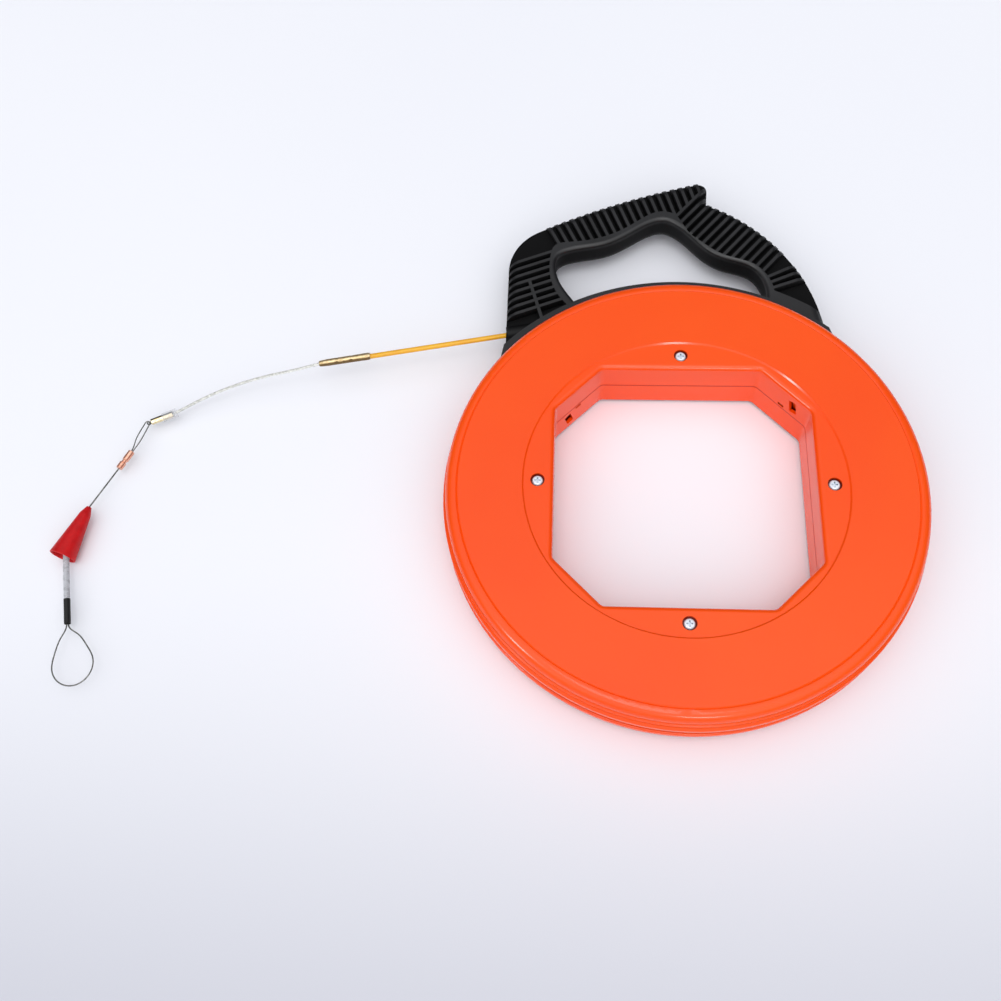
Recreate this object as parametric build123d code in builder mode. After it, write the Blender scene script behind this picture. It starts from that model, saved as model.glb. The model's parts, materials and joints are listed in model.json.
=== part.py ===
"""Fish tape reel: two moulded shells, a sliding carry handle, the coiled tape and its pulling leader.

The reel lies flat. Z is the reel's axis, z = 0 is the rear face it rests on and +Y points to the handle.
"""

from build123d import *
from math import atan2, cos, degrees, radians, sin, sqrt
import os

# ---- reel shells ---------------------------------------------------------------------------------
reel_h = 42.0  # over both faces
mid_z = reel_h / 2
wall = 2.2
bead_r = 140.0  # the two beads beside the slot are the widest part
ledge_r = 138.7
rim_r = 137.9
rim_inner_r = 135.4
face_r = 131.0  # where the flat face ends in a crease
crease = 0.6
slot_h = 6.0  # gap between the two rims
bead_h = 3.8
ledge_h = 5.4
round_drop = 5.0  # how far the rim's rounded shoulder falls
drum_r = 92.4  # outside of the wall the tape is wound around
drum_wall = 2.0
panel_drop = 0.9  # the middle panel lies this much below the face
hub_flat = 75.0  # half the distance across the eight-sided hand hole
hub_corner = 47.2
hub_lip = 2.8
hub_round = 5.0  # upright corners of the hand hole
panel_bevel = 0.9
seam_bevel = 0.4

# ---- shell screws --------------------------------------------------------------------------------
screw_circle_r = 84.3
screw_count = 4
boss_r = 5.4
screw_head_r = 3.1
head_h = 2.2
recess_r = 4.1
recess_depth = 2.9
shank_r = 1.4
shank_length = 26.0
pilot_r = 1.45
clearance_hole_r = 1.8
cross_w = 0.9
cross_l = 3.6
cross_depth = 1.1

# ---- snap windows in the hub wall ----------------------------------------------------------------
window_x = 7.8
window_y = 8.6
window_w = 5.0
window_h = 10.0
window_lean = 14.0
slit_y = 2.2
slit_w = 4.2
slit_h = 2.0

# ---- tape ----------------------------------------------------------------------------------------
tape_r = 1.6
tape_angle = 10.8  # the tape leaves along -X, turned this far towards -Y
tape_line_r = 128.9  # distance from the reel's axis to the straight tape
lead_start = 33.0  # places along the straight tape count from its tangent point
lead_end = 188.0
coil_outer_r = 124.2
coil_pitch = 3.25
coil_layers = 4
coil_rows = 11
coil_floor = wall + 0.05
tail_line_r = 99.0
tail_z = 6.2
tail_start = 6.2
tail_end = 46.0
tail_ferrule_r = 2.5
tail_ferrule_l = 12.0
cradle_w = 8.0
cradle_l = 17.0

# ---- handle --------------------------------------------------------------------------------------
grip_t = 17.0  # rib tops to rib tops
web_t = 6.0
leg_x = -107.3
leg_top = 158.5
shoulder_r = 35.0
shoulder_turn = 63.0
bar_r = 500.0
bar_turn = 12.8
nub_r = 5.5
nub_turn = 108.0
notch = (23.0, 211.5)
arm_lean = 29.0
arm_straight = 9.0
arm_r = 119.5
arm_turn = 50.5
saddle_in_r = 140.5
saddle_out_r = 146.3
saddle_from = 46.5
saddle_to = 141.5
saddle_taper = 4.0
foot_strip_r = 153.0
rib_w = 2.0
rib_pitch = 5.3
bar_ribs = 20
bar_rib_first = 6.0
bar_rib_pitch = 5.5
bar_rib_l = 60.0
arm_ribs = 14
arm_start = (7.7, 205.8)
arm_rib_slope = 50.0
arm_rib_l = 56.0
foot_ribs = 3
foot_rib_start = (67.0, 155.2)
foot_rib_step = -75.0
foot_rib_pitch = 4.9
foot_rib_slope = 27.0
foot_rib_l = 34.0
leg_ribs = 8
leg_rib_x = -93.0
leg_rib_top = 164.7
leg_rib_pitch = 5.67
leg_rib_slope = 21.5
leg_rib_l = 44.0
leg_strip_centre = (-88.7, 131.5)
leg_strip_l = 33.0
leg_strip_lean = 16.8
pocket_overrun = 1.0
way_start = 46.0
outer_round = 7.0
rail_round = 2.4
foot_r = 5.2  # moulded boss around the tape's way out
foot_l = 38.0
tape_way_r = 2.2
neck_t = slot_h - 0.6
flange_h = 13.0
flange_in_r = 132.0
flange_out_r = 135.0
slide_feet = [(54.0, 72.0), (94.0, 107.6), (128.0, 139.0)]  # angles round the reel

# ---- leader --------------------------------------------------------------------------------------
ferrule_from = 172.0
ferrule_to = 205.0
ferrule_r = 2.3
ferrule_tip_l = 5.0
ferrule_tip_r = 1.7
collar_l = 4.0
collar_side = 4.5
cable_r = 0.9
cable_grip = 8.0  # how deep the cable sits in each ferrule
leader_z = 8.3  # height of the pulling end, which the cone's rim sets
head_start = (-319.1, 58.0)
head_angle = 205.0
head_l = 14.4
head_r = 1.95
head_bore_r = 1.3
head_sleeve_r = 2.9
head_sleeve_l = 9.5
head_sleeve_past = 2.7  # how far the clear sleeve stands out behind the head ferrule
eye_from = 9.0  # along the head ferrule
eye_reach = 17.0
eye_leg_z = 0.6
eye_spread = 1.5
eye_wire_r = 0.45
crimp_centre = (-344.0, 24.8)
wire_angle = -117.0
crimp_l = 13.6
crimp_r = 2.05
crimp_neck_r = 1.5
crimp_neck_at = 8.0
wire_grip = 4.0  # how deep each thin wire sits in a crimp
hitch_bend_r = 1.55
hitch_end_side = 0.45
hitch_wire_r = 0.35
core_wire_r = 0.45
cone_top_at = 36.7  # from the crimp's centre, along the core wire
cone_angle = -107.0
cone_l = 34.5
cone_wall = 1.0
cone_tip_r = 1.5
cone_shoulder = 5.0
cone_shoulder_r = 3.4
cone_base_r = 8.0
cone_bore_r = 0.9
cone_bore_l = 1.5
bend_start = 7.2  # past the cone's tip
bend_r = 44.0
bend_turn = 40.0
sleeve_start = 17.0  # past the cone's tip
sleeve_r = 1.85
sleeve_bore_r = 0.6
sleeve_run = 24.0  # straight stretch below the bend
boot_l = 15.5
boot_r = 1.95
boot_inset = 1.0  # of the crimp inside the black sleeve
noose_end_side = 0.5
noose_crimp_r = 1.5
noose_l = 39.4
noose_w = 24.0
noose_angle = -72.0
noose_wire_r = 0.4
gap = 0.05  # between pieces that touch


def polar(radius, angle):
    """A point at an angle in degrees round the reel's axis."""
    return (radius * cos(radians(angle)), radius * sin(radians(angle)))


def step_from(point, angle, distance, side=0.0):
    """A point reached from another by going along an angle, then to its left."""
    along, left = polar(distance, angle), polar(side, angle + 90)
    return (point[0] + along[0] + left[0], point[1] + along[1] + left[1])


def along_plane(point, angle, height):
    """A plane across a line that runs level at an angle, its normal along the line."""
    return Plane(
        origin=(point[0], point[1], height), x_dir=(-sin(radians(angle)), cos(radians(angle)), 0),
        z_dir=(cos(radians(angle)), sin(radians(angle)), 0))


def upright_plane(point, angle, height):
    """An upright plane that holds a level line: x runs along the line, y points up."""
    return Plane(
        origin=(point[0], point[1], height), x_dir=(cos(radians(angle)), sin(radians(angle)), 0),
        z_dir=(sin(radians(angle)), -cos(radians(angle)), 0))


def over(edge, guides):
    """Whether an edge of the handle's faces lies straight over or under one of the guide curves."""
    middle = edge @ 0.5
    return abs(middle.Z - mid_z) > grip_t / 4 and any(
        abs((guide @ 0.5).X - middle.X) + abs((guide @ 0.5).Y - middle.Y) < 0.05 for guide in guides)


def save(piece, label):
    """Label a finished piece and write it as STEP."""
    piece.label = label
    export_step(piece, f"parts/{label}.step")


os.makedirs("parts", exist_ok=True)

tape_out = 180.0 + tape_angle
tangent_point = polar(tape_line_r, 90.0 + tape_angle)
hub_corners = [
    (hub_flat, -hub_corner), (hub_flat, hub_corner), (hub_corner, hub_flat), (-hub_corner, hub_flat),
    (-hub_flat, hub_corner), (-hub_flat, -hub_corner), (-hub_corner, -hub_flat), (hub_corner, -hub_flat)]
panel_z = reel_h - panel_drop


def beside_hub(point, height):
    """Whether a point at a given height lies on the hand hole's wall."""
    across, slant = max(abs(point.X), abs(point.Y)), abs(point.X) + abs(point.Y)
    reach = max(across / hub_flat, slant / (hub_flat + hub_corner))
    return abs(point.Z - height) < 0.01 and reach < 1.01


# ---- one shell, as the front one: rim, face, drum wall, middle panel, hub wall and screw bosses ---
def shell_blank():
    slot_z = mid_z + slot_h / 2
    shoulder_z = reel_h - round_drop
    with BuildPart() as blank:
        with BuildSketch(Plane.XZ):
            with BuildLine():
                Polyline(
                    (drum_r - drum_wall, mid_z), (drum_r, mid_z), (drum_r, reel_h - wall),
                    (rim_inner_r - 3, reel_h - wall), (rim_inner_r, reel_h - wall - 3),
                    (rim_inner_r, slot_z),
                    (bead_r, slot_z), (bead_r, slot_z + bead_h), (ledge_r, slot_z + bead_h + 1.2),
                    (ledge_r, slot_z + bead_h + ledge_h - 0.6), (rim_r, slot_z + bead_h + ledge_h),
                    (rim_r, shoulder_z))
                ThreePointArc(
                    (rim_r, shoulder_z), (rim_r - 1.7, reel_h - 1.6), (face_r + crease, reel_h - 0.15))
                Polyline(
                    (face_r + crease, reel_h - 0.15), (face_r, reel_h - crease), (face_r - crease, reel_h),
                    (drum_r + panel_bevel, reel_h), (drum_r, panel_z), (drum_r - drum_wall, panel_z),
                    (drum_r - drum_wall, mid_z))
            make_face()
        revolve(axis=Axis.Z)
        beads = blank.edges().filter_by(GeomType.CIRCLE).filter_by_position(Axis.Z, slot_z, slot_z + bead_h)
        fillet([e for e in beads if e.radius > bead_r - 0.01], 1.2)
        with BuildSketch(Plane.XY.offset(mid_z)):
            Circle(drum_r - drum_wall + 0.5)
            with BuildSketch(mode=Mode.SUBTRACT) as hub_hole:
                Polygon(*hub_corners, align=None)
                fillet(hub_hole.vertices(), hub_round)
        extrude(amount=panel_z - mid_z)
        fillet([e for e in blank.edges() if beside_hub(e @ 0.5, panel_z)], hub_lip)
        with BuildSketch(Plane.XY.offset(mid_z)):
            Circle(drum_r - drum_wall)
            with BuildSketch(mode=Mode.SUBTRACT):
                Polygon(*hub_corners, align=None)
                offset(amount=wall, kind=Kind.INTERSECTION)
        extrude(amount=panel_z - wall - mid_z, mode=Mode.SUBTRACT)
        with BuildSketch(Plane.XY.offset(mid_z)):
            with PolarLocations(screw_circle_r, screw_count):
                Circle(boss_r)
        extrude(amount=panel_z - wall / 2 - mid_z)
        chamfer([e for e in blank.edges() if beside_hub(e @ 0.5, mid_z)], seam_bevel)
    return blank.part


blank_shell = shell_blank()

# ---- snap windows: each shell has them in one slanting hub wall, right of +Y seen from its own face ---
window_wall = Plane(
    origin=(*polar((hub_flat + hub_corner) / sqrt(2), 45), mid_z), x_dir=(*polar(1, 135), 0),
    z_dir=(*polar(1, 45), 0))
with BuildPart() as moulding:
    add(blank_shell)
    with BuildSketch(window_wall):
        with Locations((-window_x, window_y)):
            Rectangle(window_w, window_h, rotation=-window_lean)
        with Locations((0, slit_y)):
            Rectangle(slit_w, slit_h)
    extrude(amount=wall + 1, both=True, mode=Mode.SUBTRACT)

# ---- front shell: counterbored screw holes -------------------------------------------------------
with BuildPart() as front_shell:
    add(moulding.part)
    with Locations(Plane.XY.offset(panel_z)):
        with PolarLocations(screw_circle_r, screw_count):
            CounterBoreHole(clearance_hole_r, recess_r, recess_depth, panel_z - mid_z)
save(front_shell.part, "front_shell")

# ---- rear shell: the same moulding turned over, with blind pilot holes and the tape's cradle -----
with BuildPart() as rear_shell:
    add(moulding.part.rotate(Axis((0, 0, mid_z), (0, 1, 0)), 180))
    with Locations(Plane.XY.offset(mid_z)):
        with PolarLocations(screw_circle_r, screw_count):
            Hole(pilot_r, depth=mid_z - wall - panel_drop - 1)
    with BuildSketch(Plane.XY.offset(wall - 0.5)):
        with Locations((0, -tail_line_r)):
            Rectangle(cradle_l, cradle_w)
    extrude(amount=tail_z + 0.5 - wall)
    with BuildSketch(Plane.YZ):
        with Locations((-tail_line_r, tail_z)):
            Circle(tail_ferrule_r + gap)
    extrude(amount=tail_ferrule_l / 2 + gap, both=True, mode=Mode.SUBTRACT)
    with BuildSketch(Plane.YZ):
        with Locations((-tail_line_r, tail_z)):
            Circle(tape_r + gap)
    extrude(amount=cradle_l, mode=Mode.SUBTRACT)
save(rear_shell.part, "rear_shell")

# ---- shell screws: four pan-head self-tapping screws with a cross recess -------------------------
head_z = panel_z - recess_depth
with BuildPart() as shell_screws:
    with BuildSketch(Plane.XY.offset(head_z + gap)):
        with PolarLocations(screw_circle_r, screw_count):
            Circle(screw_head_r)
    extrude(amount=head_h)
    fillet(shell_screws.faces().sort_by(Axis.Z)[-screw_count:].edges(), 1.2)
    with BuildSketch(Plane.XY.offset(head_z + gap)):
        with PolarLocations(screw_circle_r, screw_count):
            Circle(shank_r)
    extrude(amount=-shank_length)
    chamfer(shell_screws.faces().sort_by(Axis.Z)[:screw_count].edges(), 0.9)
    with BuildSketch(Plane.XY.offset(head_z + gap + head_h)):
        with PolarLocations(screw_circle_r, screw_count):
            Rectangle(cross_l, cross_w)
            Rectangle(cross_w, cross_l)
    extrude(amount=-cross_depth, mode=Mode.SUBTRACT)
save(shell_screws.part, "shell_screws")

# ---- tape coil: a ring with the outline of its wound turns ---------------------------------------
coil_w, coil_h = coil_layers * coil_pitch, coil_rows * coil_pitch
coil_mid_r = coil_outer_r - coil_w / 2
with BuildPart() as tape_coil:
    with BuildSketch(Plane.XZ):
        with Locations((coil_mid_r, coil_floor + coil_h / 2)):
            Rectangle(coil_w - coil_pitch, coil_h - coil_pitch)
            with GridLocations(coil_pitch, coil_pitch, coil_layers, coil_rows):
                Circle(coil_pitch / 2)
    revolve(axis=Axis.Z)
save(tape_coil.part, "tape_coil")

# ---- tape tail: the inner end of the tape, crimped into a ferrule that lies in the cradle --------
tail_plane = Plane.YZ.offset(tail_start)
with BuildPart() as tape_tail:
    with BuildSketch(tail_plane):
        with Locations((-tail_line_r, tail_z)):
            Circle(tape_r)
    extrude(amount=tail_end - tail_start)
    with BuildSketch(Plane.YZ.offset(-tail_ferrule_l / 2 + 2)):
        with Locations((-tail_line_r, tail_z)):
            Circle(tape_r - 0.1)
    extrude(amount=tail_start + tail_ferrule_l / 2 - 2)
save(tape_tail.part, "tape_tail")

with BuildPart() as tail_ferrule:
    with BuildSketch(Plane.YZ.offset(-tail_ferrule_l / 2)):
        with Locations((-tail_line_r, tail_z)):
            Circle(tail_ferrule_r)
    extrude(amount=tail_ferrule_l)
    chamfer(tail_ferrule.edges(), 0.4)
    with BuildSketch(Plane.YZ.offset(-tail_ferrule_l / 2 + 2 - gap)):
        with Locations((-tail_line_r, tail_z)):
            Circle(tape_r)
    extrude(amount=tail_ferrule_l, mode=Mode.SUBTRACT)
save(tail_ferrule.part, "tail_ferrule")

# ---- handle: ribbed carry handle that rides in the slot between the rims -------------------------
with BuildSketch() as leg_and_bar:
    with BuildLine():
        leg_edge = Line((leg_x, 80), (leg_x, leg_top))
        shoulder = JernArc(leg_edge @ 1, (0, 1), shoulder_r, -shoulder_turn)
        bar_edge = JernArc(shoulder @ 1, shoulder % 1, bar_r, -bar_turn)
        nub = JernArc(bar_edge @ 1, bar_edge % 1, nub_r, -nub_turn)
        nub_side = Line(nub @ 1, nub @ 1 + nub % 1 * 12)
        Polyline(nub_side @ 1, (5, 180), (-60, 100), leg_edge @ 0)
    make_face()

with BuildSketch() as arm:
    with BuildLine():
        arm_line = Line(notch, step_from(notch, -arm_lean, arm_straight))
        arm_edge = JernArc(arm_line @ 1, arm_line % 1, arm_r, -arm_turn)
        arm_foot = Line(arm_edge @ 1, arm_edge @ 1 + arm_edge % 1 * 34)
        Polyline(arm_foot @ 1, (40, 100), (-12, 190), step_from(notch, 180 - arm_lean, 14), notch)
    make_face()

# the opening for the fingers, which the saddle closes below
with BuildSketch() as opening:
    with BuildLine():
        opening_edge = Spline(
            (-60, 126), (-71, 141.5), (-76.5, 156), (-75, 167), (-67, 171.4), (-44.5, 176.4),
            (-26.5, 186.4), (-14, 194), (-6.5, 195.6), (1.5, 191.9), (17.5, 175), (30.5, 166),
            (49.5, 158), (55.2, 149), (53, 126))
        Line((53, 126), (-60, 126))
    make_face()

# the rail round the opening: wide under the bar, narrow along the leg and the right arm
with BuildSketch() as rail:
    with BuildLine():
        rail_edge = Spline(
            (-66, 126), (-75.5, 137.4), (-79.6, 148), (-80.3, 166), (-77.5, 174.8), (-66, 177.8),
            (-50.3, 180.5), (-36, 186.3), (-21.5, 196.2), (-9, 202.3), (0, 200.5), (8, 188),
            (18.3, 177.2), (31.5, 167.8), (51, 160), (58.2, 151), (59, 126))
        Line((59, 126), (-66, 126))
    make_face()

# thin strips that stay standing between the pockets: on the bar, the right arm, its foot and the left leg
with BuildSketch() as rib_strips:
    for number in range(bar_ribs):
        station = (bar_rib_first + number * bar_rib_pitch) / bar_edge.length
        heading = bar_edge % station
        with Locations(bar_edge @ station):
            Rectangle(rib_w, bar_rib_l, rotation=degrees(atan2(heading.Y, heading.X)))
    with BuildLine():
        first_arm_rib = Line(step_from(arm_start, arm_rib_slope, -arm_rib_l / 2),
                             step_from(arm_start, arm_rib_slope, arm_rib_l / 2))
        Polyline(first_arm_rib @ 1, (100, 200), (100, 120), (0, 120), first_arm_rib @ 0)
    make_face(mode=Mode.SUBTRACT)
    for number in range(arm_ribs):
        with Locations(step_from(arm_start, arm_rib_slope - 90, number * rib_pitch)):
            Rectangle(arm_rib_l, rib_w, rotation=arm_rib_slope)
    for number in range(foot_ribs):
        with Locations(step_from(foot_rib_start, foot_rib_step, number * foot_rib_pitch)):
            Rectangle(foot_rib_l, rib_w, rotation=foot_rib_slope - number * 3)
    for number in range(leg_ribs):
        with Locations((leg_rib_x, leg_rib_top - number * leg_rib_pitch)):
            Rectangle(leg_rib_l, rib_w, rotation=leg_rib_slope)
    with Locations(leg_strip_centre):
        Rectangle(rib_w, leg_strip_l, rotation=leg_strip_lean)

# smooth strip beside the saddle, under the right foot only
with BuildSketch() as foot_strip:
    Circle(foot_strip_r)
    with Locations((foot_strip_r / 2, 0)):
        Rectangle(foot_strip_r, 2 * foot_strip_r, mode=Mode.INTERSECT)

# everything that is not rail, strip or saddle is a pocket
with BuildSketch() as pockets:
    add(leg_and_bar.sketch)
    add(arm.sketch)
    offset(amount=pocket_overrun)
    add(rail.sketch, mode=Mode.SUBTRACT)
    Circle(saddle_out_r, mode=Mode.SUBTRACT)
    add(foot_strip.sketch, mode=Mode.SUBTRACT)
    add(rib_strips.sketch, mode=Mode.SUBTRACT)

bar_guides = [leg_edge, shoulder, bar_edge, nub, nub_side]
arm_guides = [arm_line, arm_edge, arm_foot]
with BuildPart() as bar_body:
    with BuildSketch(Plane.XY.offset(mid_z)):
        add(leg_and_bar.sketch)
    extrude(amount=grip_t / 2, both=True)
    fillet([e for e in bar_body.edges() if over(e, bar_guides)], outer_round)

with BuildPart() as arm_body:
    with BuildSketch(Plane.XY.offset(mid_z)):
        add(arm.sketch)
    extrude(amount=grip_t / 2, both=True)
    fillet([e for e in arm_body.edges() if over(e, arm_guides)], outer_round)

tape_way = along_plane(step_from(tangent_point, tape_out, way_start), tape_out, mid_z)
with BuildPart() as handle:
    add(bar_body.part)
    add(arm_body.part)
    with BuildSketch(Plane.XY.offset(mid_z)):
        add(opening.sketch)
    extrude(amount=grip_t, both=True, mode=Mode.SUBTRACT)
    fillet([e for e in handle.edges() if over(e, [opening_edge])], rail_round)
    for face_side in (1, -1):
        with BuildSketch(Plane.XY.offset(mid_z + face_side * web_t / 2)):
            add(pockets.sketch)
        extrude(amount=face_side * grip_t, mode=Mode.SUBTRACT)
    with BuildSketch(tape_way):
        Circle(foot_r)
    extrude(amount=foot_l)
    with BuildSketch(Plane.XY.offset(mid_z)):
        Circle(saddle_in_r)
    extrude(amount=reel_h, both=True, mode=Mode.SUBTRACT)
    with BuildSketch(Plane.XY.offset(mid_z)):
        with BuildLine():
            CenterArc((0, 0), saddle_in_r, saddle_from, saddle_to - saddle_from)
            CenterArc((0, 0), saddle_out_r, saddle_from + saddle_taper,
                      saddle_to - saddle_from - 2 * saddle_taper)
            Line(polar(saddle_in_r, saddle_from), polar(saddle_out_r, saddle_from + saddle_taper))
            Line(polar(saddle_in_r, saddle_to), polar(saddle_out_r, saddle_to - saddle_taper))
        make_face()
    extrude(amount=grip_t / 2, both=True)
    for first, last in slide_feet:
        neck = (neck_t, flange_out_r - 1, saddle_in_r + 1)
        for height, inner, outer in (neck, (flange_h, flange_in_r, flange_out_r)):
            with BuildSketch(Plane.XY.offset(mid_z)):
                with BuildLine():
                    CenterArc((0, 0), inner, first, last - first)
                    CenterArc((0, 0), outer, first, last - first)
                    Line(polar(inner, first), polar(outer, first))
                    Line(polar(inner, last), polar(outer, last))
                make_face()
            extrude(amount=height / 2, both=True)
    with BuildSketch(tape_way.offset(-10)):
        Circle(tape_way_r)
    extrude(amount=60, mode=Mode.SUBTRACT)
save(handle.part, "handle")

# ---- tape: its straight end, from inside the reel through the handle's leg -----------------------
with BuildPart() as tape_lead:
    with BuildSketch(along_plane(step_from(tangent_point, tape_out, lead_start), tape_out, mid_z)):
        Circle(tape_r)
    extrude(amount=lead_end - lead_start)
save(tape_lead.part, "tape_lead")

# ---- tape ferrule: squared collar, crimped barrel and tapered tip --------------------------------
ferrule_mouth = along_plane(step_from(tangent_point, tape_out, ferrule_from), tape_out, mid_z)
ferrule_l = ferrule_to - ferrule_from
with BuildPart() as tape_ferrule:
    with BuildSketch(ferrule_mouth):
        Circle(ferrule_r)
    extrude(amount=ferrule_l - ferrule_tip_l)
    with BuildSketch(ferrule_mouth.offset(ferrule_l - ferrule_tip_l)):
        Circle(ferrule_r)
    with BuildSketch(ferrule_mouth.offset(ferrule_l)):
        Circle(ferrule_tip_r)
    loft()
    with BuildSketch(ferrule_mouth.offset(1)):
        RectangleRounded(collar_side, collar_side, 0.9)
    extrude(amount=collar_l)
    with BuildSketch(ferrule_mouth):
        Circle(tape_r + gap)
    extrude(amount=lead_end - ferrule_from + gap, mode=Mode.SUBTRACT)
    with BuildSketch(ferrule_mouth.offset(ferrule_l)):
        Circle(cable_r + gap)
    extrude(amount=-cable_grip - gap, mode=Mode.SUBTRACT)
save(tape_ferrule.part, "tape_ferrule")

# ---- leader cable: from the tape's ferrule down to the head ferrule ------------------------------
head_axis = (cos(radians(head_angle)), sin(radians(head_angle)), 0)
with BuildPart() as leader_cable:
    with BuildLine() as cable_path:
        cable_in = Line((*step_from(tangent_point, tape_out, ferrule_to - cable_grip), mid_z),
                        (*step_from(tangent_point, tape_out, ferrule_to), mid_z))
        cable_fall = Spline(
            cable_in @ 1, (-237.6, 85.6, 19.4), (-253.8, 82.6, 17.4), (-270.1, 79.1, 15.0),
            (-289.5, 72.9, 12.0), (-305.3, 65.8, 9.6), (*head_start, leader_z),
            tangents=[cable_in % 1, head_axis])
        Line(cable_fall @ 1, (*step_from(head_start, head_angle, cable_grip), leader_z))
    with BuildSketch(Plane(origin=cable_in @ 0, z_dir=cable_in % 0)):
        Circle(cable_r)
    sweep(path=cable_path.line)
save(leader_cable.part, "leader_cable")

# ---- head ferrule: tube that holds the cable's end and the eye -----------------------------------
with BuildPart() as head_ferrule:
    with BuildSketch(along_plane(head_start, head_angle, leader_z)):
        Circle(head_r)
        Circle(head_bore_r, mode=Mode.SUBTRACT)
    extrude(amount=head_l)
    rims = head_ferrule.edges().filter_by(GeomType.CIRCLE)
    chamfer([e for e in rims if e.radius > head_r - 0.01], 0.3)
save(head_ferrule.part, "head_ferrule")

# ---- head sleeve: short clear tube pushed over the head ferrule's cable end ----------------------------
with BuildPart() as head_sleeve:
    with BuildSketch(along_plane(head_start, head_angle, leader_z).offset(-head_sleeve_past)):
        Circle(head_sleeve_r)
        Circle(head_r + gap, mode=Mode.SUBTRACT)
    extrude(amount=head_sleeve_l)
    sleeve_rims = head_sleeve.edges().filter_by(GeomType.CIRCLE)
    fillet([e for e in sleeve_rims if e.radius > head_sleeve_r - 0.01], 0.3)
save(head_sleeve.part, "head_sleeve")

# ---- head eye: small upright wire loop at the head ferrule's far end -----------------------------
eye_plane = upright_plane(head_start, head_angle, leader_z)
with BuildPart() as head_eye:
    with BuildLine(eye_plane) as eye_path:
        eye_leg = Line((eye_from, -eye_leg_z), (head_l - 0.4, -eye_leg_z))
        eye_turn = Spline(
            eye_leg @ 1, eye_plane.from_local_coords((eye_reach - 1.5, -eye_spread)),
            eye_plane.from_local_coords((eye_reach, 0)),
            eye_plane.from_local_coords((eye_reach - 1.5, eye_spread)),
            eye_plane.from_local_coords((head_l - 0.4, eye_leg_z)),
            tangents=[eye_plane.x_dir, -eye_plane.x_dir])
        Line(eye_turn @ 1, eye_plane.from_local_coords((eye_from, eye_leg_z)))
    with BuildSketch(Plane(origin=eye_leg @ 0, z_dir=eye_leg % 0)):
        Circle(eye_wire_r)
    sweep(path=eye_path.line)
save(head_eye.part, "head_eye")

# ---- hitch loop: thin wire doubled round the eye, both ends in the copper crimp ------------------
eye_point = step_from(head_start, head_angle, eye_reach)
crimp_top = step_from(crimp_centre, wire_angle, -crimp_l / 2)
hitch_angle = degrees(atan2(crimp_top[1] - eye_point[1], crimp_top[0] - eye_point[0]))
hitch_run = sqrt((crimp_top[0] - eye_point[0]) ** 2 + (crimp_top[1] - eye_point[1]) ** 2)
crimp_axis = (cos(radians(wire_angle)), sin(radians(wire_angle)), 0)
hitch_axis = (cos(radians(hitch_angle)), sin(radians(hitch_angle)), 0)


def hitch_point(along, side):
    """A point of the hitch, from the eye along the hitch and to its left."""
    return (*step_from(eye_point, hitch_angle, along, side), leader_z)


def crimp_point(along, side):
    """A point in the crimp's mouth, from its top end along its axis and to its left."""
    return (*step_from(crimp_top, wire_angle, along, side), leader_z)


with BuildPart() as hitch_loop:
    with BuildLine() as hitch_path:
        hitch_in = Line(crimp_point(wire_grip, hitch_end_side), crimp_point(0, hitch_end_side))
        hitch_out = Spline(
            hitch_in @ 1, hitch_point(hitch_run * 0.6, hitch_bend_r), hitch_point(0, hitch_bend_r),
            tangents=[(-crimp_axis[0], -crimp_axis[1], 0), (-hitch_axis[0], -hitch_axis[1], 0)])
        hitch_bend = ThreePointArc(
            hitch_out @ 1, hitch_point(-hitch_bend_r, 0), hitch_point(0, -hitch_bend_r))
        hitch_back = Spline(
            hitch_bend @ 1, hitch_point(hitch_run * 0.6, -hitch_bend_r), crimp_point(0, -hitch_end_side),
            tangents=[hitch_axis, crimp_axis])
        Line(hitch_back @ 1, crimp_point(wire_grip, -hitch_end_side))
    with BuildSketch(Plane(origin=hitch_in @ 0, z_dir=hitch_in % 0)):
        Circle(hitch_wire_r)
    sweep(path=hitch_path.line)
save(hitch_loop.part, "hitch_loop")

# ---- copper crimp: two barrels and a neck, bored for the hitch above and the core wire below -----
crimp_plane = upright_plane(crimp_top, wire_angle, leader_z)
hitch_bore_r = hitch_end_side + hitch_wire_r + gap
with BuildPart() as copper_crimp:
    with BuildSketch(crimp_plane):
        with BuildLine():
            Polyline(
                (wire_grip + gap, 0), (wire_grip + gap, hitch_bore_r), (0, hitch_bore_r), (0, crimp_r - 0.5),
                (0.5, crimp_r), (crimp_neck_at - 1.1, crimp_r), (crimp_neck_at - 0.6, crimp_neck_r),
                (crimp_neck_at + 0.6, crimp_neck_r), (crimp_neck_at + 1.1, crimp_r), (crimp_l - 0.5, crimp_r),
                (crimp_l, crimp_r - 0.5), (crimp_l, core_wire_r + gap),
                (crimp_l - wire_grip - gap, core_wire_r + gap), (crimp_l - wire_grip - gap, 0),
                (wire_grip + gap, 0))
        make_face()
    revolve(axis=Axis(crimp_plane.origin, crimp_plane.x_dir))
save(copper_crimp.part, "copper_crimp")

# ---- core wire: straight through the cone's tip, then a bend that ends in the noose's crimp ------
cone_tip = step_from(crimp_centre, wire_angle, cone_top_at)
with BuildPart() as core_wire:
    with BuildLine() as core_path:
        core_in = Line(
            crimp_point(crimp_l - wire_grip, 0), (*step_from(cone_tip, wire_angle, bend_start), leader_z))
        bend = JernArc(core_in @ 1, core_in % 1, bend_r, bend_turn)
        core_run = Line(bend @ 1, bend @ 1 + bend % 1 * (sleeve_run + boot_inset + wire_grip))
    with BuildSketch(Plane(origin=core_in @ 0, z_dir=core_in % 0)):
        Circle(core_wire_r)
    sweep(path=core_path.line)
save(core_wire.part, "core_wire")

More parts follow.
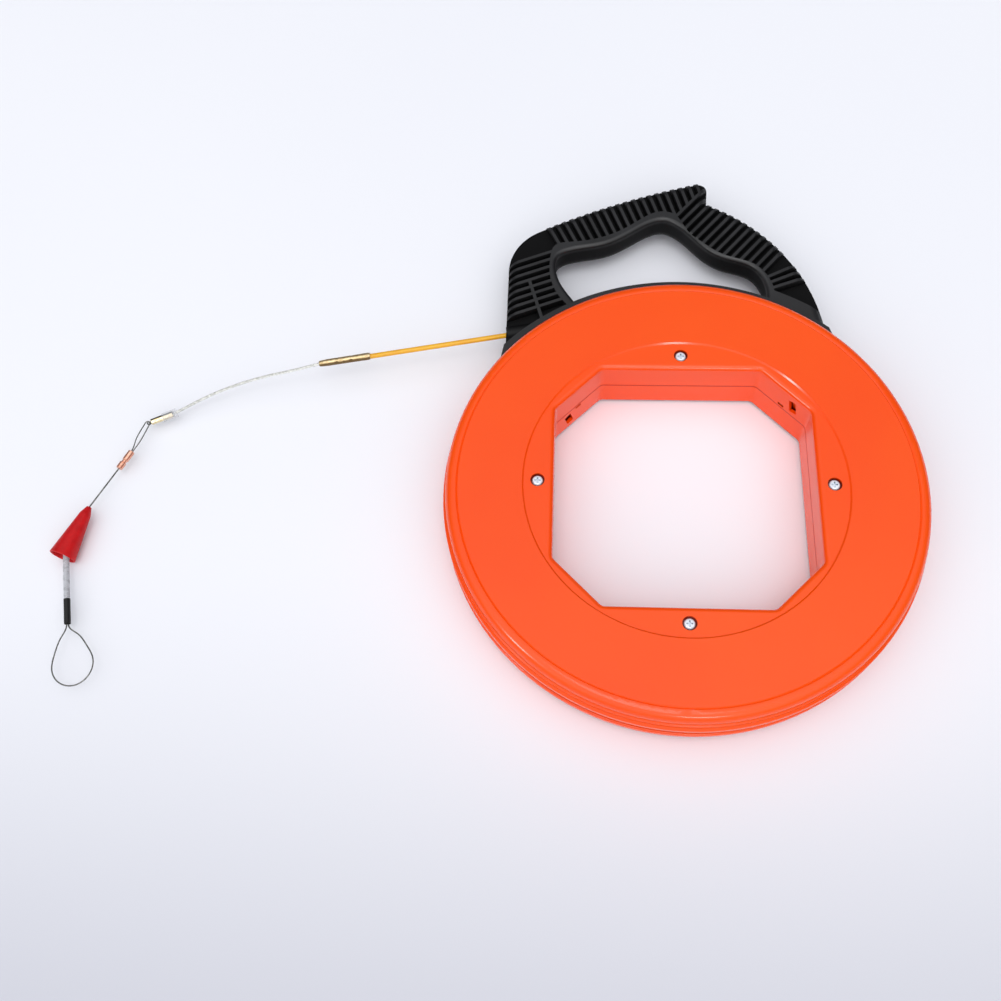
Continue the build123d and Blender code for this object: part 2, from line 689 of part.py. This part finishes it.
# ---- pull cone: hollow, open below, the core wire runs loose through its tip ---------------------
cone_plane = upright_plane(cone_tip, cone_angle, leader_z)
with BuildPart() as pull_cone:
    with BuildSketch(cone_plane):
        with BuildLine():
            Polyline(
                (0, cone_bore_r), (0, cone_tip_r), (cone_shoulder, cone_shoulder_r), (cone_l, cone_base_r),
                (cone_l, cone_base_r - cone_wall), (cone_shoulder + 1, cone_shoulder_r - cone_wall + 0.1),
                (cone_bore_l, cone_bore_r), (0, cone_bore_r))
        make_face()
    revolve(axis=Axis(cone_plane.origin, cone_plane.x_dir))
    circles = pull_cone.edges().filter_by(GeomType.CIRCLE)
    fillet([e for e in circles if e.radius > cone_base_r - cone_wall - 0.01], 0.4)
save(pull_cone.part, "pull_cone")

# ---- clear sleeve: flexible tube over the core wire ----------------------------------------------
sleeve_turned = (sleeve_start - bend_start) / (bend_r * radians(bend_turn))
with BuildPart() as clear_sleeve:
    with BuildLine() as sleeve_path:
        sleeve_bend = JernArc(
            bend @ sleeve_turned, bend % sleeve_turned, bend_r, bend_turn * (1 - sleeve_turned))
        Line(sleeve_bend @ 1, sleeve_bend @ 1 + sleeve_bend % 1 * sleeve_run)
    with BuildSketch(Plane(origin=sleeve_bend @ 0, z_dir=sleeve_bend % 0)):
        Circle(sleeve_r)
        Circle(sleeve_bore_r, mode=Mode.SUBTRACT)
    sweep(path=sleeve_path.line)
save(clear_sleeve.part, "clear_sleeve")

# ---- black sleeve: short tube over the noose's crimp ---------------------------------------------
boot_angle = wire_angle + bend_turn
boot_start = bend @ 1 + bend % 1 * (sleeve_run + gap)
with BuildPart() as black_sleeve:
    with BuildSketch(along_plane((boot_start.X, boot_start.Y), boot_angle, leader_z)):
        Circle(boot_r)
        Circle(noose_crimp_r + gap, mode=Mode.SUBTRACT)
    extrude(amount=boot_l)
save(black_sleeve.part, "black_sleeve")

# ---- noose crimp: joins the core wire to both ends of the noose ----------------------------------
noose_crimp_top = step_from((boot_start.X, boot_start.Y), boot_angle, boot_inset - gap)
noose_crimp_l = boot_l - 2 * boot_inset
noose_plane = upright_plane(noose_crimp_top, boot_angle, leader_z)
noose_bore_r = noose_end_side + noose_wire_r + gap
with BuildPart() as noose_crimp:
    with BuildSketch(noose_plane):
        with BuildLine():
            Polyline(
                (wire_grip + gap, 0), (wire_grip + gap, core_wire_r + gap), (0, core_wire_r + gap),
                (0, noose_crimp_r), (noose_crimp_l, noose_crimp_r), (noose_crimp_l, noose_bore_r),
                (noose_crimp_l - wire_grip - gap, noose_bore_r), (noose_crimp_l - wire_grip - gap, 0),
                (wire_grip + gap, 0))
        make_face()
    revolve(axis=Axis(noose_plane.origin, noose_plane.x_dir))
save(noose_crimp.part, "noose_crimp")

# ---- noose loop: open teardrop of thin wire that the cable to be pulled is tied to ---------------
noose_top = step_from(noose_crimp_top, boot_angle, noose_crimp_l)
boot_axis = (cos(radians(boot_angle)), sin(radians(boot_angle)), 0)


def noose_point(along, side):
    """A point of the noose, from the crimp's lower end along the loop and to its left."""
    return (*step_from(noose_top, noose_angle, along, side), leader_z)


def noose_end(along, side):
    """A point in the crimp's lower end, back along its axis and to its left."""
    return (*step_from(noose_top, boot_angle, -along, side), leader_z)


with BuildPart() as noose_loop:
    with BuildLine() as noose_path:
        noose_in = Line(noose_end(wire_grip, noose_end_side), noose_end(-1.2, noose_end_side))
        noose_round = Spline(
            noose_in @ 1, noose_point(noose_l * 0.22, noose_w * 0.2),
            noose_point(noose_l * 0.44, noose_w * 0.39), noose_point(noose_l * 0.69, noose_w / 2),
            noose_point(noose_l * 0.9, noose_w * 0.36),
            noose_point(noose_l, 0), noose_point(noose_l * 0.9, -noose_w * 0.36),
            noose_point(noose_l * 0.69, -noose_w / 2), noose_point(noose_l * 0.44, -noose_w * 0.39),
            noose_point(noose_l * 0.22, -noose_w * 0.2), noose_end(-1.2, -noose_end_side),
            tangents=[boot_axis, (-boot_axis[0], -boot_axis[1], 0)])
        Line(noose_round @ 1, noose_end(wire_grip, -noose_end_side))
    with BuildSketch(Plane(origin=noose_in @ 0, z_dir=noose_in % 0)):
        Circle(noose_wire_r)
    sweep(path=noose_path.line)
save(noose_loop.part, "noose_loop")
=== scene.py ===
"""Fish tape reel: looks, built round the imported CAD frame. Metres, same frame as the CAD."""
import json
from math import cos, pi, radians, sin

import bmesh
import bpy
import numpy
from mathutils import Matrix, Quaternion, Vector


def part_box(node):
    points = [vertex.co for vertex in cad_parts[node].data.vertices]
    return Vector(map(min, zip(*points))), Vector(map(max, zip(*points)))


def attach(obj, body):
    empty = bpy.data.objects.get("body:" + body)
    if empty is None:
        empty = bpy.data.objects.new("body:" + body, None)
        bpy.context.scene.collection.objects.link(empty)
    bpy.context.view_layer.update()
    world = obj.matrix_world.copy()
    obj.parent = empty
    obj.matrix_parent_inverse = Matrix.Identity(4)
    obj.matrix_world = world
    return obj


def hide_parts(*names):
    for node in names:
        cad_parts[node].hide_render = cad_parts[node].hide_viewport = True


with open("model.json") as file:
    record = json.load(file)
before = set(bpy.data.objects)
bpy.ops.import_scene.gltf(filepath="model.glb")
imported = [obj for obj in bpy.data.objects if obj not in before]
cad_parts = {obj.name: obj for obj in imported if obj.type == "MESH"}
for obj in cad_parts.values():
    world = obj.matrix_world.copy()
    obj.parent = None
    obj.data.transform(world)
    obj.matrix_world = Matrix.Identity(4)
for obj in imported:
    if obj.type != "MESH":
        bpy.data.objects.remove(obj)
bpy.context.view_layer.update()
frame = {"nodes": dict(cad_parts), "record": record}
MM = 0.001
NODES = frame["nodes"]

# ---- measurements taken from the frame -----------------------------------------------------------
reel_low, reel_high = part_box("front_shell")
REEL_R = (reel_high.x - reel_low.x) / 2
SEAM_Z = reel_high.z / 2


# ---- material building blocks --------------------------------------------------------------------
class Shader:
    """A small helper that adds nodes to one material and links them by name."""

    def __init__(self, name):
        self.material = bpy.data.materials.new(name)
        self.material.use_nodes = True
        self.tree = self.material.node_tree
        self.surface = self.tree.nodes["Principled BSDF"]
        self.place = self.add("ShaderNodeTexCoord").outputs["Object"]

    def add(self, kind, **inputs):
        node = self.tree.nodes.new(kind)
        for key, value in inputs.items():
            self.put(node, key.replace("_", " "), value)
        return node

    def put(self, node, socket, value):
        if isinstance(value, bpy.types.NodeSocket):
            self.tree.links.new(value, node.inputs[socket])
        else:
            node.inputs[socket].default_value = value

    def set(self, **inputs):
        for key, value in inputs.items():
            self.put(self.surface, key.replace("_", " "), value)

    def noise(self, scale, detail=4.0, rough=0.55, stretch=None):
        place = self.place
        if stretch:
            mapping = self.add("ShaderNodeMapping", Vector=place)
            mapping.inputs["Scale"].default_value = stretch
            place = mapping.outputs["Vector"]
        node = self.add("ShaderNodeTexNoise", Vector=place, Scale=scale, Detail=detail, Roughness=rough)
        return node.outputs["Fac"]

    def ramp(self, value, stops):
        node = self.add("ShaderNodeValToRGB", Fac=value)
        marks = node.color_ramp.elements
        while len(marks) < len(stops):
            marks.new(0.5)
        for mark, (at, colour) in zip(marks, stops):
            mark.position = at
            mark.color = (*colour, 1)
        return node.outputs["Color"]

    def mix(self, share, first, second):
        node = self.tree.nodes.new("ShaderNodeMix")
        node.data_type = "RGBA"
        self.put(node, 0, share)
        for socket, colour in ((6, first), (7, second)):
            self.put(node, socket, (*colour, 1) if isinstance(colour, tuple) else colour)
        return node.outputs[2]

    def math(self, operation, a, b=0.0):
        node = self.tree.nodes.new("ShaderNodeMath")
        node.operation = operation
        self.put(node, 0, a)
        self.put(node, 1, b)
        return node.outputs[0]

    def mapped(self, value, low, high, from_low=0.0, from_high=1.0, easing="LINEAR"):
        node = self.add("ShaderNodeMapRange", Value=value)
        node.interpolation_type = easing
        ends = {"From Min": from_low, "From Max": from_high, "To Min": low, "To Max": high}
        for key, number in ends.items():
            node.inputs[key].default_value = number
        return node.outputs["Result"]

    def bump(self, height, depth, strength=1.0, under=None):
        node = self.add("ShaderNodeBump", Height=height, Distance=depth, Strength=strength)
        if under:
            self.put(node, "Normal", under)
        return node.outputs["Normal"]


def srgb(red, green, blue):
    """A colour as eyes see it, in 0..255, turned into the renderer's linear values."""
    shares = [value / 255 for value in (red, green, blue)]
    return tuple(v / 12.92 if v <= 0.04045 else ((v + 0.055) / 1.055) ** 2.4 for v in shares)


# ---- materials -----------------------------------------------------------------------------------
def orange_plastic():
    """Glossy orange moulding: faint clouds, fine grain, hairline scuffs, painted shade in crevices and a dark
    seam.
    """
    s = Shader("orange_plastic")
    cloud = s.noise(7.0, 3.0)
    colour = s.ramp(cloud, [(0.32, srgb(250, 76, 4)), (0.68, srgb(253, 84, 7))])
    # Painted shade: the orange is mixed towards deep red in creases, recesses and gaps, wherever occlusion is
    # found.
    shade = s.add("ShaderNodeAmbientOcclusion", Distance=4 * MM)
    colour = s.mix(s.mapped(shade.outputs["AO"], 0.95, 0.0, 0.24, 0.60), colour, srgb(104, 4, 0))
    height = s.add("ShaderNodeSeparateXYZ", Vector=s.place).outputs["Z"]
    off_seam = s.math("ABSOLUTE", s.math("SUBTRACT", height, SEAM_Z))
    clean = s.mapped(off_seam, 0.15, 1.0, 0.4 * MM, 0.8 * MM)
    colour = s.mix(clean, srgb(196, 52, 18), colour)
    grain = s.noise(3000.0, 2.0)
    wave = s.noise(30.0, 2.0)
    scuff = s.noise(160.0, 5.0, 0.6, stretch=(1, 14, 1))
    rough = s.math("ADD", s.mapped(wave, 0.15, 0.22), s.mapped(scuff, 0.0, 0.08, 0.62, 0.8))
    normal = s.bump(grain, 0.01 * MM, 0.25)
    normal = s.bump(wave, 0.1 * MM, 0.12, normal)
    shine = s.math("MULTIPLY", clean, 0.38)
    s.set(Base_Color=colour, Roughness=rough, Normal=normal, IOR=1.5, Specular_IOR_Level=shine,
          Subsurface_Weight=0.05, Subsurface_Radius=(0.004, 0.001, 0.0004), Subsurface_Scale=1.0)
    return s.material


def grip_plastic():
    """Black satin moulding: fine spark-eroded grain, tops painted lighter and pocket floors painted darker as
    painted light and shade, the floors also dull.
    """
    s = Shader("grip_plastic")
    low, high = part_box("handle")
    middle, half = (low.z + high.z) / 2, (high.z - low.z) / 2
    height = s.add("ShaderNodeSeparateXYZ", Vector=s.place).outputs["Z"]
    away = s.math("ABSOLUTE", s.math("SUBTRACT", height, middle))
    top = s.mapped(away, 0.0, 1.0, 0.45 * half, 0.98 * half)
    cloud = s.noise(42.0, 4.0)
    # Painted light and shade: rib and rail tops are painted lighter and the pocket floors at the web near
    # black, with a patchy edge from the cloud.
    painted_top_light = s.math("MULTIPLY", top, s.mapped(cloud, 0.55, 1.0, 0.3, 0.7))
    colour = s.ramp(painted_top_light, [(0.0, srgb(8, 8, 9)), (0.55, srgb(17, 17, 18)), (1.0, srgb(34, 34, 36))])
    grain = s.noise(3200.0, 3.0)
    rough = s.math("ADD", s.mapped(top, 0.62, 0.36), s.mapped(cloud, -0.04, 0.06))
    s.set(Base_Color=colour, Roughness=rough, Specular_IOR_Level=s.mapped(top, 0.12, 0.55),
          Normal=s.bump(grain, 0.04 * MM, 0.45), IOR=1.5)
    return s.material


def tape_jacket():
    """Yellow nylon jacket: a little see-through, with fine drawn texture."""
    s = Shader("tape_jacket")
    blotch = s.noise(120.0, 3.0)
    colour = s.ramp(blotch, [(0.3, srgb(226, 164, 16)), (0.7, srgb(240, 186, 34))])
    s.set(Base_Color=colour, Roughness=s.mapped(blotch, 0.30, 0.44),
          Normal=s.bump(s.noise(1800.0), 0.03 * MM, 0.4), Subsurface_Weight=0.2,
          Subsurface_Radius=(0.002, 0.0014, 0.0003), Subsurface_Scale=1.0)
    return s.material


def metal(name, dark, light, rough_low, rough_high, scale=420.0, painted_side_shade=None):
    """Bare metal: patchy tone, uneven polish, small tool marks and, if asked, one side painted dark, painted
    shade that follows the way the surface faces.
    """
    s = Shader(name)
    blotch = s.noise(scale, 5.0, 0.6)
    colour = s.ramp(blotch, [(0.32, dark), (0.68, light)])
    if painted_side_shade:
        # Painted shade: the side facing one way along Y is mixed towards a dark tone, with a ragged edge.
        side, edge, tone = painted_side_shade
        facing = s.add("ShaderNodeTexCoord").outputs["Normal"]
        facing = s.math("MULTIPLY", s.add("ShaderNodeSeparateXYZ", Vector=facing).outputs["Y"], side)
        ragged = s.math("ADD", facing, s.mapped(blotch, -0.12, 0.12, 0.3, 0.7))
        colour = s.mix(s.mapped(ragged, 0.0, 1.0, edge, edge + 0.2), colour, tone)
    s.set(Base_Color=colour, Metallic=1.0, Roughness=s.mapped(s.noise(scale * 2.6), rough_low, rough_high),
          Normal=s.bump(s.noise(scale * 3.5, 3.0), 0.04 * MM, 0.5))
    return s.material


def screw_zinc():
    """Bright bluish plating, with painted shade darkening it down in the cross recess and round the head."""
    s = Shader("screw_zinc")
    blotch = s.noise(420.0, 5.0, 0.6)
    colour = s.ramp(blotch, [(0.32, srgb(206, 216, 232)), (0.68, srgb(244, 248, 255))])
    # Painted shade: the plating is mixed towards near black in the cross recess and the narrow gap round the
    # head.
    shade = s.add("ShaderNodeAmbientOcclusion", Distance=0.9 * MM)
    colour = s.mix(s.mapped(shade.outputs["AO"], 1.0, 0.0, 0.25, 0.62), colour, srgb(20, 26, 36))
    s.set(Base_Color=colour, Metallic=0.12, Roughness=s.mapped(s.noise(1100.0), 0.14, 0.28),
          Specular_IOR_Level=0.9, Normal=s.bump(s.noise(1500.0, 3.0), 0.03 * MM, 0.5))
    return s.material


def cone_plastic():
    """Red satin plastic that lets a little light through."""
    s = Shader("cone_plastic")
    cloud = s.noise(160.0, 3.0)
    s.set(Base_Color=s.ramp(cloud, [(0.3, srgb(184, 6, 12)), (0.7, srgb(208, 12, 18))]),
          Roughness=s.mapped(cloud, 0.42, 0.58), Normal=s.bump(s.noise(2200.0), 0.04 * MM, 0.5),
          Specular_IOR_Level=0.3, Subsurface_Weight=0.25, Subsurface_Radius=(0.003, 0.0003, 0.0003),
          Subsurface_Scale=1.0)
    return s.material


def clear_tube():
    """Cloudy vinyl that lets little light through."""
    s = Shader("clear_tube")
    cloud = s.noise(300.0, 3.0)
    s.set(Base_Color=s.ramp(cloud, [(0.3, srgb(184, 185, 190)), (0.7, srgb(206, 207, 213))]),
          Roughness=s.mapped(cloud, 0.2, 0.36), Transmission_Weight=0.15, IOR=1.4,
          Normal=s.bump(s.noise(500.0), 0.03 * MM, 0.3))
    return s.material


def clear_film():
    """Thin clear tube: mostly seen through, with a soft shine."""
    s = Shader("clear_film")
    cloud = s.noise(300.0, 3.0)
    s.set(Base_Color=s.ramp(cloud, [(0.3, srgb(214, 216, 220)), (0.7, srgb(236, 238, 242))]), IOR=1.45,
          Roughness=s.mapped(cloud, 0.08, 0.2), Alpha=s.mapped(cloud, 0.16, 0.3),
          Normal=s.bump(s.noise(500.0), 0.05 * MM, 0.3))
    return s.material


def black_tube():
    """Shrunk black tube, slightly wrinkled."""
    s = Shader("black_tube")
    cloud = s.noise(500.0, 4.0)
    s.set(Base_Color=s.ramp(cloud, [(0.3, srgb(7, 7, 8)), (0.7, srgb(18, 18, 19))]), Specular_IOR_Level=0.4,
          Roughness=s.mapped(cloud, 0.4, 0.6), Normal=s.bump(s.noise(700.0, 4.0), 0.1 * MM, 0.5))
    return s.material


STEEL = metal("wire_steel", srgb(72, 72, 70), srgb(138, 138, 134), 0.22, 0.42)
BRASS = metal("ferrule_brass", srgb(158, 134, 96), srgb(224, 202, 160), 0.28, 0.46)
# Painted shade: the near, lower side of the tape ferrule is painted a darker brass.
DENTED_BRASS = metal("dented_brass", srgb(166, 142, 102), srgb(226, 204, 162), 0.30, 0.46,
                     painted_side_shade=(-1, 0.55, srgb(122, 100, 68)))
# Painted dark reflection: the far half of the head ferrule is painted near black, the rest a light brass.
HALF_SHADED_BRASS = metal("half_shaded_brass", srgb(206, 184, 136), srgb(250, 236, 200), 0.24, 0.40,
                      painted_side_shade=(1, -0.1, srgb(38, 28, 16)))
COPPER = metal("crimp_copper", srgb(206, 132, 104), srgb(250, 202, 178), 0.14, 0.30)
ZINC = screw_zinc()
CABLE = metal("cable_steel", srgb(176, 176, 172), srgb(236, 236, 232), 0.25, 0.45, 700.0)
ORANGE = orange_plastic()
BLACK = grip_plastic()
YELLOW = tape_jacket()
FINISH = {
    "front_shell": ORANGE, "rear_shell": ORANGE, "shell_screws": ZINC,
    "tape_coil": YELLOW, "tape_tail": YELLOW, "tail_ferrule": BRASS,
    "handle": BLACK,
    "tape_lead": YELLOW, "tape_ferrule": DENTED_BRASS, "leader_cable": STEEL,
    "head_ferrule": HALF_SHADED_BRASS, "head_sleeve": clear_film(), "head_eye": STEEL,
    "hitch_loop": STEEL, "copper_crimp": COPPER, "core_wire": STEEL,
    "pull_cone": cone_plastic(), "clear_sleeve": clear_tube(), "black_sleeve": black_tube(),
    "noose_crimp": BRASS, "noose_loop": STEEL}
for name, finish in FINISH.items():
    NODES[name].data.materials.clear()
    NODES[name].data.materials.append(finish)


# ---- mesh building blocks ------------------------------------------------------------------------
def centre(node):
    low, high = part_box(node)
    return (low + high) / 2


def new_piece(name, shape, finish, body):
    """Turn a bmesh into a smooth-shaded object with a finish that rides on a body."""
    bmesh.ops.recalc_face_normals(shape, faces=shape.faces)
    mesh = bpy.data.meshes.new(name)
    shape.to_mesh(mesh)
    shape.free()
    for face in mesh.polygons:
        face.use_smooth = True
    mesh.materials.append(finish)
    piece = bpy.data.objects.new(name, mesh)
    bpy.context.scene.collection.objects.link(piece)
    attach(piece, body)
    return piece


def ring_frames(path):
    """At each point of a path, two directions across it that turn with it and never twist."""
    frames = []
    side = None
    for number, point in enumerate(path):
        before, after = path[max(number - 1, 0)], path[min(number + 1, len(path) - 1)]
        heading = (after - before).normalized()
        if side is None:
            side = heading.orthogonal().normalized()
        side = (side - heading * side.dot(heading)).normalized()
        frames.append((point, side, heading.cross(side)))
    return frames


def add_tube(shape, rings):
    """Skin closed rings of points into one tube with closed ends."""
    loops = [[shape.verts.new(point) for point in ring] for ring in rings]
    count = len(loops[0])
    for first, second in zip(loops, loops[1:]):
        for k in range(count):
            shape.faces.new((first[k], first[(k + 1) % count], second[(k + 1) % count], second[k]))
    shape.faces.new(loops[0])
    shape.faces.new(reversed(loops[-1]))


def twisted_cable(name, path, strands, strand_r, lay, finish, body, sides=8):
    """A cable of strands laid round a plain core, following a path; strand None is the core."""
    shape = bmesh.new()
    frames = ring_frames(path)
    run = [0.0]
    for before, after in zip(path, path[1:]):
        run.append(run[-1] + (after - before).length)
    orbit = strand_r / sin(pi / strands)
    for strand in [None, *range(strands)]:
        rings = []
        for (point, u, v), far in zip(frames, run):
            turn = 0.0 if strand is None else 2 * pi * (strand / strands + far / lay)
            out = 0.0 if strand is None else orbit
            middle = point + (u * cos(turn) + v * sin(turn)) * out
            radius = orbit - strand_r * 0.6 if strand is None else strand_r
            rings.append([middle + (u * cos(a) + v * sin(a)) * radius
                          for a in (2 * pi * k / sides for k in range(sides))])
        add_tube(shape, rings)
    return new_piece(name, shape, finish, body)


def turned(name, start, axis, profile, finish, body, dents, sides=48):
    """A turned piece: profile holds (distance, radius) pairs, dents hold (distance, angle, depth, size)."""
    shape = bmesh.new()
    _, u, v = ring_frames([start, start + axis])[0]
    rings = []
    for far, radius in profile:
        ring = []
        for k in range(sides):
            angle = 2 * pi * k / sides
            pressed = 0.0
            for at, where, depth, size in dents:
                round_gap = (angle - where + pi) % (2 * pi) - pi
                gap = ((far - at) / size) ** 2 + (round_gap * radius / size) ** 2
                pressed += depth * max(0.0, 1 - gap) ** 2
            outward = u * cos(angle) + v * sin(angle)
            ring.append(start + axis * far + outward * max(radius - pressed, radius * 0.4))
        rings.append(ring)
    add_tube(shape, rings)
    return new_piece(name, shape, finish, body)


def stations(length, step, marks):
    """Distances along a turned piece: even steps plus the places where its profile bends."""
    count = max(2, round(length / step))
    return sorted({round(v, 7) for v in [length * k / count for k in range(count + 1)] + list(marks)})


def profile_radius(far, corners):
    """Radius at a distance, read off straight lines between corner pairs."""
    for (a, ra), (b, rb) in zip(corners, corners[1:]):
        if a <= far <= b:
            return ra if b == a else ra + (rb - ra) * (far - a) / (b - a)
    return corners[-1][1]


def turned_from_corners(name, start, axis, corners, finish, body, dents, step=0.3 * MM):
    """A turned piece whose profile is straight between corners, cut fine enough to hold dents."""
    marks = [far for far, _ in corners]
    profile = [(far, profile_radius(far, corners)) for far in stations(corners[-1][0], step, marks)]
    return turned(name, start, axis, profile, finish, body, dents)


# ---- leader: stranded cable, crimped ferrules ----------------------------------------------------
def cable_path(node, step=0.45 * MM, inset=0.6 * MM, degree=7):
    """Centre line of a node that runs along X: a smooth curve fitted through its vertices."""
    points = numpy.array([vertex.co[:] for vertex in NODES[node].data.vertices])
    low, high = points[:, 0].min(), points[:, 0].max()
    middle, half = (low + high) / 2, (high - low) / 2
    along = (points[:, 0] - middle) / half
    curve_y, curve_z = (numpy.polynomial.Polynomial.fit(along, points[:, k], degree) for k in (1, 2))
    count = round((high - low) / step)
    path = []
    for k in range(count + 1):
        x = high - inset - (high - low - 2 * inset) * k / count
        path.append(Vector((x, curve_y((x - middle) / half), curve_z((x - middle) / half))))
    return path


def build_cable(strands=6, strand_r=0.305 * MM, lay=15 * MM):
    """Twisted strands along the leader cable's centre line."""
    cable = twisted_cable("cable_strands", cable_path("leader_cable"), strands, strand_r, lay, CABLE, "tape")
    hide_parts("leader_cable")


def build_ferrule(dent_deep=0.32 * MM, dent_size=1.4 * MM):
    """The long ferrule: collar on the tape, body crimped in two rows of dents, narrow tip on the cable."""
    joints = {joint["name"]: joint for joint in frame["record"]["behaviour"]["joints"]}
    axis = Vector(joints["tape_feed"]["axis"])
    low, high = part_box("tape_ferrule")
    radius = (high.z - low.z) / 2
    length = ((high.x - low.x) - 2 * radius * abs(axis.y)) / abs(axis.x)
    start = centre("tape_ferrule") - axis * length / 2
    dents = []
    for number in range(5):
        dents.append((length * (0.24 + 0.14 * number), 0.9 + 0.35 * (number % 2), dent_deep, dent_size))
        dents.append((length * (0.20 + 0.15 * number), 3.9 - 0.3 * (number % 2), dent_deep, dent_size))
    corners = [(0, radius * 0.82), (0.3 * MM, radius * 0.93), (1 * MM, radius * 0.95), (1.3 * MM, radius),
               (4.6 * MM, radius), (5.0 * MM, radius * 0.98), (length - 5.5 * MM, radius * 0.95),
               (length - 1 * MM, radius * 0.82), (length - 0.3 * MM, radius * 0.76), (length, radius * 0.6)]
    ferrule = turned_from_corners("ferrule_body", start, axis, corners, DENTED_BRASS, "tape", dents)
    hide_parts("tape_ferrule")


build_cable()
build_ferrule()


# ---- stage: pale floor, soft light and the camera ------------------------------------------------
def build_floor():
    """A wide sheet of pale paper, with painted shade making it a little darker towards the near side."""
    s = Shader("floor_paper")
    tone = s.noise(1.2, 2.0)
    paper = s.ramp(tone, [(0.3, srgb(240, 241, 247)), (0.7, srgb(244, 245, 250))])
    near = s.add("ShaderNodeSeparateXYZ", Vector=s.place).outputs["Y"]
    # Painted shade: the paper is mixed towards a dark blue towards the near side, as light falling off.
    fall = s.mapped(near, 0.38, 0.0, -0.40, -0.02, "SMOOTHSTEP")
    blue_shade = (0.0, 0.0, 0.10)
    s.set(Base_Color=s.mix(fall, paper, blue_shade), Roughness=0.85,
          Normal=s.bump(s.noise(900.0), 0.02 * MM, 0.2))
    bpy.ops.mesh.primitive_plane_add(size=8, location=(0, 0, 0))
    floor = bpy.context.object
    floor.name = "floor"
    floor.data.materials.append(s.material)


def area_light(name, place, aim, size, power, shine_only=False):
    """A flat lamp turned towards a point; shine_only keeps it out of matt light and shadows."""
    data = bpy.data.lights.new(name, "AREA")
    data.shape = "RECTANGLE"
    data.size, data.size_y = size
    data.energy = power
    lamp = bpy.data.objects.new(name, data)
    lamp.visible_diffuse = not shine_only
    lamp.location = place
    lamp.rotation_mode = "QUATERNION"
    lamp.rotation_quaternion = (Vector(aim) - Vector(place)).to_track_quat("-Z", "Y")
    bpy.context.scene.collection.objects.link(lamp)


def build_world():
    """A bright ceiling that leans to the near side, over dim walls that the camera sees as plain and pale."""
    world = bpy.data.worlds.new("studio")
    world.use_nodes = True
    tree = world.node_tree
    place = tree.nodes.new("ShaderNodeTexCoord")
    lean = tree.nodes.new("ShaderNodeVectorMath")
    lean.operation = "DOT_PRODUCT"
    lean.inputs[1].default_value = (-0.08, -0.42, 0.904)
    ramp = tree.nodes.new("ShaderNodeValToRGB")
    tree.links.new(place.outputs["Generated"], lean.inputs[0])
    tree.links.new(lean.outputs["Value"], ramp.inputs["Fac"])
    ceiling, wall, foot, pale = (1.0, 1.01, 1.03), (0.14, 0.145, 0.16), (0.07, 0.07, 0.08), (0.62, 0.63, 0.66)
    stops = [(0.0, foot), (0.36, wall), (0.82, ceiling), (1.0, ceiling)]
    marks = ramp.color_ramp.elements
    while len(marks) < len(stops):
        marks.new(0.5)
    for mark, (at, colour) in zip(marks, stops):
        mark.position = at
        mark.color = (*colour, 1)
    seen = tree.nodes.new("ShaderNodeLightPath").outputs["Is Camera Ray"]
    pick = tree.nodes.new("ShaderNodeMix")
    pick.data_type = "RGBA"
    pick.inputs[7].default_value = (*pale, 1)
    tree.links.new(seen, pick.inputs[0])
    tree.links.new(ramp.outputs["Color"], pick.inputs[6])
    tree.links.new(pick.outputs[2], tree.nodes["Background"].inputs["Color"])
    tree.nodes["Background"].inputs["Strength"].default_value = 1.42
    bpy.context.scene.world = world


def build_light():
    """A broad lamp overhead, a low strip in front for the rim's streaks and a small lamp at the left."""
    build_world()
    area_light("overhead", (-0.1, -0.6, 2.2), (0, 0, 0), (1.0, 1.0), 9)
    area_light("front_strip", (0.35, -1.9, 1.3), (0, 0, 0), (0.45, 0.12), 6, True)
    area_light("small_left", (-1.75, -1.1, 1.35), (-0.1, 0, 0), (0.28, 0.28), 10, True)


def build_camera():
    """Above the near side of the reel, turned a little about its own axis."""
    aim = Vector((-0.77 * REEL_R, 0.035 * REEL_R, 0))
    azimuth, elevation, roll, distance = radians(-81.73), radians(65.48), radians(-6.6), 4.715 * REEL_R
    away = Vector((cos(azimuth) * cos(elevation), sin(azimuth) * cos(elevation), sin(elevation)))
    camera = bpy.data.objects.new("camera", bpy.data.cameras.new("camera"))
    camera.data.lens, camera.data.sensor_width = 38.68, 36.0
    camera.data.clip_start, camera.data.clip_end = 0.01, 20
    camera.location = aim + away * distance
    camera.rotation_mode = "QUATERNION"
    camera.rotation_quaternion = (-away).to_track_quat("-Z", "Y") @ Quaternion((0, 0, 1), roll)
    bpy.context.scene.collection.objects.link(camera)
    bpy.context.scene.camera = camera


build_floor()
build_light()
build_camera()
bpy.context.scene.view_settings.view_transform = "Standard"
